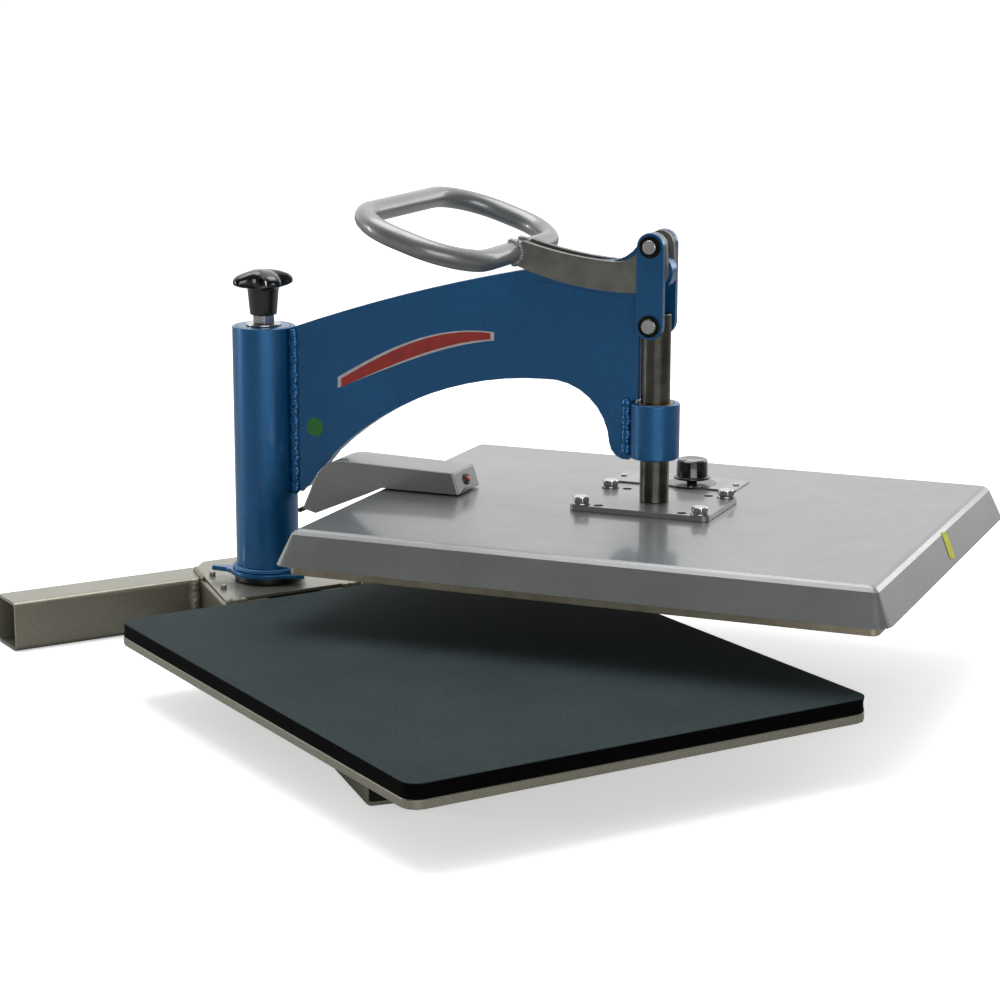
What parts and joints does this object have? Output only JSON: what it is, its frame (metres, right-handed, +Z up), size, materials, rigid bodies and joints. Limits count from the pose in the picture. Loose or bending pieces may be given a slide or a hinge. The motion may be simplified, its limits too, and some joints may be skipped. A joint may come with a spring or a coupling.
{
  "type": "swing-away heat press",
  "caption": "Swing-away flat heat press: steel base with padded table, arched arm on a post, lever linkage and a heated platen on a sliding rod.",
  "frame": {"origin": "middle of the rear cross tube's underside, on the surface that the press stands on", "axes": "+Z up; +Y to the back of the press, away from the operator; +X to the operator's right; metres"},
  "size_m": [0.7845, 0.7331, 0.4143],
  "materials": {
    "silver_paint": "glossy metallic silver-grey paint",
    "blue_paint": "satin metallic blue powder coat",
    "grey_steel": "plain flat steel, lightly brushed",
    "oiled_steel": "dark oiled steel",
    "zinc_plate": "bright zinc plate",
    "cast_aluminium": "machined cast aluminium",
    "bronze": "plain bearing bronze",
    "black_plastic": "glossy black moulding",
    "sponge_rubber": "matte silicone sponge",
    "glass_wool": "matte glass-fibre blanket",
    "red_lens": "clear red lens"
  },
  "bodies": {
    "base": {"rear_cross_tube": "silver_paint", "front_leg_left": "silver_paint", "front_leg_right": "silver_paint", "base_top_plate": "silver_paint", "column": "oiled_steel", "thrust_washer": "black_plastic", "table_plate": "silver_paint", "table_pad": "sponge_rubber"},
    "thrust_disc": {"thrust_disc": "bronze"},
    "head": {"stop_flange": "blue_paint", "post_tube": "blue_paint", "lower_bush": "bronze", "upper_bush": "bronze", "post_cap": "blue_paint", "lock_washer": "zinc_plate", "lock_nut": "zinc_plate", "arm_plate": "blue_paint", "rod_sleeve": "blue_paint", "rod_bush": "bronze"},
    "pressure_knob": {"pressure_knob": "black_plastic", "pressure_screw": "oiled_steel"},
    "lever": {"lever_cheek_front": "grey_steel", "lever_cheek_rear": "grey_steel", "handle_loop": "silver_paint", "pivot_pin": "zinc_plate", "crank_pin": "zinc_plate"},
    "links": {"link_front": "blue_paint", "link_rear": "blue_paint", "crank_ring_front": "oiled_steel", "crank_ring_rear": "oiled_steel", "rod_pin_front": "zinc_plate", "rod_pin_rear": "zinc_plate"},
    "platen": {"press_rod": "oiled_steel", "rod_cross_pin": "zinc_plate", "mount_plate": "silver_paint", "platen_cover": "silver_paint", "heat_slab": "cast_aluminium", "spacer_bar_1": "zinc_plate", "spacer_bar_2": "zinc_plate", "mount_washer_1": "zinc_plate", "mount_washer_2": "zinc_plate", "mount_washer_3": "zinc_plate", "mount_washer_4": "zinc_plate", "mount_bolt_1": "zinc_plate", "mount_bolt_2": "zinc_plate", "mount_bolt_3": "zinc_plate", "mount_bolt_4": "zinc_plate", "heating_element": "oiled_steel", "insulation_blanket": "glass_wool", "dial_plate": "black_plastic", "dial_screw_1": "zinc_plate", "dial_screw_2": "zinc_plate", "thermostat_body": "zinc_plate", "control_box": "silver_paint", "pilot_bezel": "black_plastic", "pilot_lens": "red_lens", "cord_gland": "black_plastic", "box_edge_trim": "black_plastic", "terminal_block": "black_plastic"},
    "dial": {"thermostat_knob": "black_plastic"}
  },
  "joints": [
    {"name": "head_swing", "type": "hinge", "parent": "base", "child": "thrust_disc", "pos_m": [0, -0.067, 0.262], "axis": [0, 0, 1], "range_deg": [-36.24, 55]},
    {"name": "arm_height", "type": "slide", "parent": "thrust_disc", "child": "head", "axis": [0, 0, 1], "range_m": [0, 0.006]},
    {"name": "pressure_knob_turn", "type": "hinge", "parent": "head", "child": "pressure_knob", "pos_m": [0, -0.067, 0.3], "axis": [0, 0, 1], "range_deg": [0, 1080]},
    {"name": "handle_lever", "type": "hinge", "parent": "head", "child": "lever", "pos_m": [0.22523, -0.37429, 0.358], "axis": [0.8065, 0.5912, 0], "range_deg": [0, 180]},
    {"name": "link_swing", "type": "hinge", "parent": "lever", "child": "links", "pos_m": [0.22523, -0.37429, 0.381], "axis": [0.8065, 0.5912, 0], "range_deg": [-180, 0]},
    {"name": "platen_slide", "type": "slide", "parent": "head", "child": "platen", "axis": [0, 0, -1], "range_m": [0, 0.046]},
    {"name": "temperature_dial", "type": "hinge", "parent": "platen", "child": "dial", "pos_m": [0.30695, -0.31663, 0.153], "axis": [0, 0, -1], "range_deg": [0, 300]}
  ],
  "couplings": [
    {"joint": "handle_lever", "follows": "platen_slide", "rad_per_m": 68.295},
    {"joint": "link_swing", "follows": "platen_slide", "rad_per_m": -68.295},
    {"joint": "pressure_knob_turn", "follows": "arm_height", "rad_per_m": 3141.6}
  ]
}
